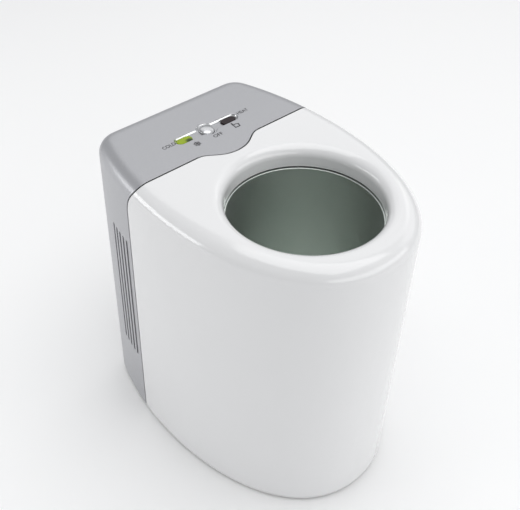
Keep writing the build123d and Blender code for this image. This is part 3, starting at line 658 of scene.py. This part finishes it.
# %% Solder mask and tracks
mask = Finish("solder_mask", ior=1.5)
tracks = mask.cells(2.4 * MM, distance="CHEBYCHEV")
lifted = mask.node("ValToRGB", [tracks], stops=[(0.30, (1, 1, 1)), (0.36, (0, 0, 0))])
weave = mask.grain(0.3 * MM, detail=2)
mask.surface(
    base_color=mask.shades(lifted, (0.010, 0.085, 0.030), (0.030, 0.17, 0.055)),
    roughness=0.22 + weave * 0.12,
    normal=mask.bump(lifted, depth=0.03 * MM),
)
wear("board", mask.material)

# %% [markdown]
# ## The ink
#
# Three words and two signs are pad printed in dark grey: which end is cold, which is warm, and off
# in the middle. Ink is a layer a few hundredths of a millimetre thick. Here it is a thin solid of
# that sort, because a printed pattern in the paint's own material would need a map of the letters.
# A quarter of its thickness is sunk into the top, so that no gap shows under it.

# %% Mix the ink
INK_THICK = 0.03 * MM
INK_MIDDLE = TOP + INK_THICK / 4

ink = Finish("dark_grey_ink", ior=1.45)
speckle = ink.grain(0.2 * MM, detail=3)
ink.surface(
    base_color=ink.shades(speckle, (0.012, 0.011, 0.013), (0.035, 0.033, 0.038)),
    roughness=0.45 + speckle * 0.2,
)


def corners(mesh):
    """The lowest and the highest place of a mesh on each axis."""
    places = [vert.co for vert in mesh.vertices]
    return [[pick(place[i] for place in places) for i in range(3)] for pick in (min, max)]


def finish_print(piece):
    """Gives a printed piece its ink, and lets it ride on the housing."""
    piece.data.materials.append(ink.material)
    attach(piece, "housing")
    low, high = [[round(x / MM, 2) for x in corner] for corner in corners(piece.data)]
    print(piece.name, low, "to", high, "mm")


# %% [markdown]
# ## The words
#
# A word could be drawn stroke by stroke, but Blender has a typeface. Words start as text, a little
# heavier than the typeface draws them. They become a mesh, and only then are they scaled to their
# real size and put in place, because a finished piece stands at the origin, unscaled.

# %% Print the words
LETTER_WEIGHT = 0.012
HALF_DEEP = 0.5  # half the depth of the text, which makes it 1 deep before it is scaled


def print_word(word, left, right, low, high):
    """Prints a word in a box on the top, given in millimetres."""
    text = bpy.data.curves.new(word, "FONT")
    text.body = word
    text.extrude = HALF_DEEP
    text.offset = LETTER_WEIGHT
    writer = bpy.data.objects.new(word, text)
    bpy.context.scene.collection.objects.link(writer)
    bpy.context.view_layer.update()
    letters = bpy.data.meshes.new_from_object(writer)
    bpy.data.objects.remove(writer)
    (x0, y0, _), (x1, y1, _) = corners(letters)
    wide, tall = (right - left) * MM / (x1 - x0), (high - low) * MM / (y1 - y0)
    shift = Matrix.Translation((left * MM - x0 * wide, low * MM - y0 * tall, INK_MIDDLE))
    letters.transform(shift @ Matrix.Diagonal((wide, tall, INK_THICK, 1)))
    piece = bpy.data.objects.new("print_" + word.lower(), letters)
    bpy.context.scene.collection.objects.link(piece)
    finish_print(piece)


print_word("COLD", -29.4, -21.3, 48.3, 50.8)
print_word("OFF", -2.1, 3.8, 40.0, 42.5)
print_word("HEAT", 22.0, 29.5, 49.1, 51.5)

# %% [markdown]
# ## The snow star
#
# A sign is a handful of strokes. Each stroke is one flat bar from one place to another, made from a
# cube that is squeezed, turned and moved by a single matrix. Each lies a hair higher than the one
# before, since two faces in one plane would flicker. The snow star is six arms, each with a pair
# of barbs.

# %% Print the snow star
STROKE_STEP = 0.0006 * MM
BAR_CORNERS = 8
SNOW_CENTRE = (-12.8, 41.8)
SNOW_ARMS, SNOW_ARM = 6, 1.95
BARB_FROM, BARB_TO = 1.05, 1.65
BARB_SPREAD = radians(24)
ARM_STROKE, BARB_STROKE = 0.40, 0.32


def stroke(bm, start, end, width):
    """A flat bar of ink between two places on the top, all in millimetres."""
    start, end = Vector((*start, 0)) * MM, Vector((*end, 0)) * MM
    run = end - start
    earlier = len(bm.verts) / BAR_CORNERS
    size = Matrix.Diagonal((run.length + width * MM, width * MM, INK_THICK, 1))
    turned = Matrix.Rotation(atan2(run.y, run.x), 4, "Z")
    lift = Vector((0, 0, INK_MIDDLE + earlier * STROKE_STEP))
    place = Matrix.Translation((start + end) / 2 + lift)
    bmesh.ops.create_cube(bm, size=1, matrix=place @ turned @ size)


def snow_point(distance, angle):
    """A place on the snow star."""
    return SNOW_CENTRE[0] + distance * cos(angle), SNOW_CENTRE[1] + distance * sin(angle)


bm = bmesh.new()
for i in range(SNOW_ARMS):
    angle = tau * (i + 0.5) / SNOW_ARMS
    stroke(bm, SNOW_CENTRE, snow_point(SNOW_ARM, angle), ARM_STROKE)
    for spread in (-BARB_SPREAD, BARB_SPREAD):
        barb_end = snow_point(BARB_TO, angle + spread)
        stroke(bm, snow_point(BARB_FROM, angle), barb_end, BARB_STROKE)
finish_print(add_mesh("sign_snow_star", bm))

# %% [markdown]
# ## The cup sign
#
# The warm side has a small cup, made with the same strokes, since a drawing of four lines needs no
# other tool. It is a closed outline whose rim bends down to the right, and a spoon stands up at
# the left end of the rim.

# %% Print the cup
CUP_SIDE = [(12.9, 43.1), (12.6, 40.6), (15.4, 40.4), (16.1, 42.6)]
RIM_MIDDLE = (14.6, 43.2)
SPOON_TOP = (13.2, 44.8)
SIDE_STROKE, SPOON_STROKE, RIM_STROKE = 0.65, 0.85, 0.6

bm = bmesh.new()
for start, end in zip(CUP_SIDE, CUP_SIDE[1:]):
    stroke(bm, start, end, SIDE_STROKE)
stroke(bm, CUP_SIDE[0], SPOON_TOP, SPOON_STROKE)
stroke(bm, RIM_MIDDLE, CUP_SIDE[-1], RIM_STROKE)
stroke(bm, CUP_SIDE[0], RIM_MIDDLE, RIM_STROKE)
finish_print(add_mesh("sign_cup", bm))
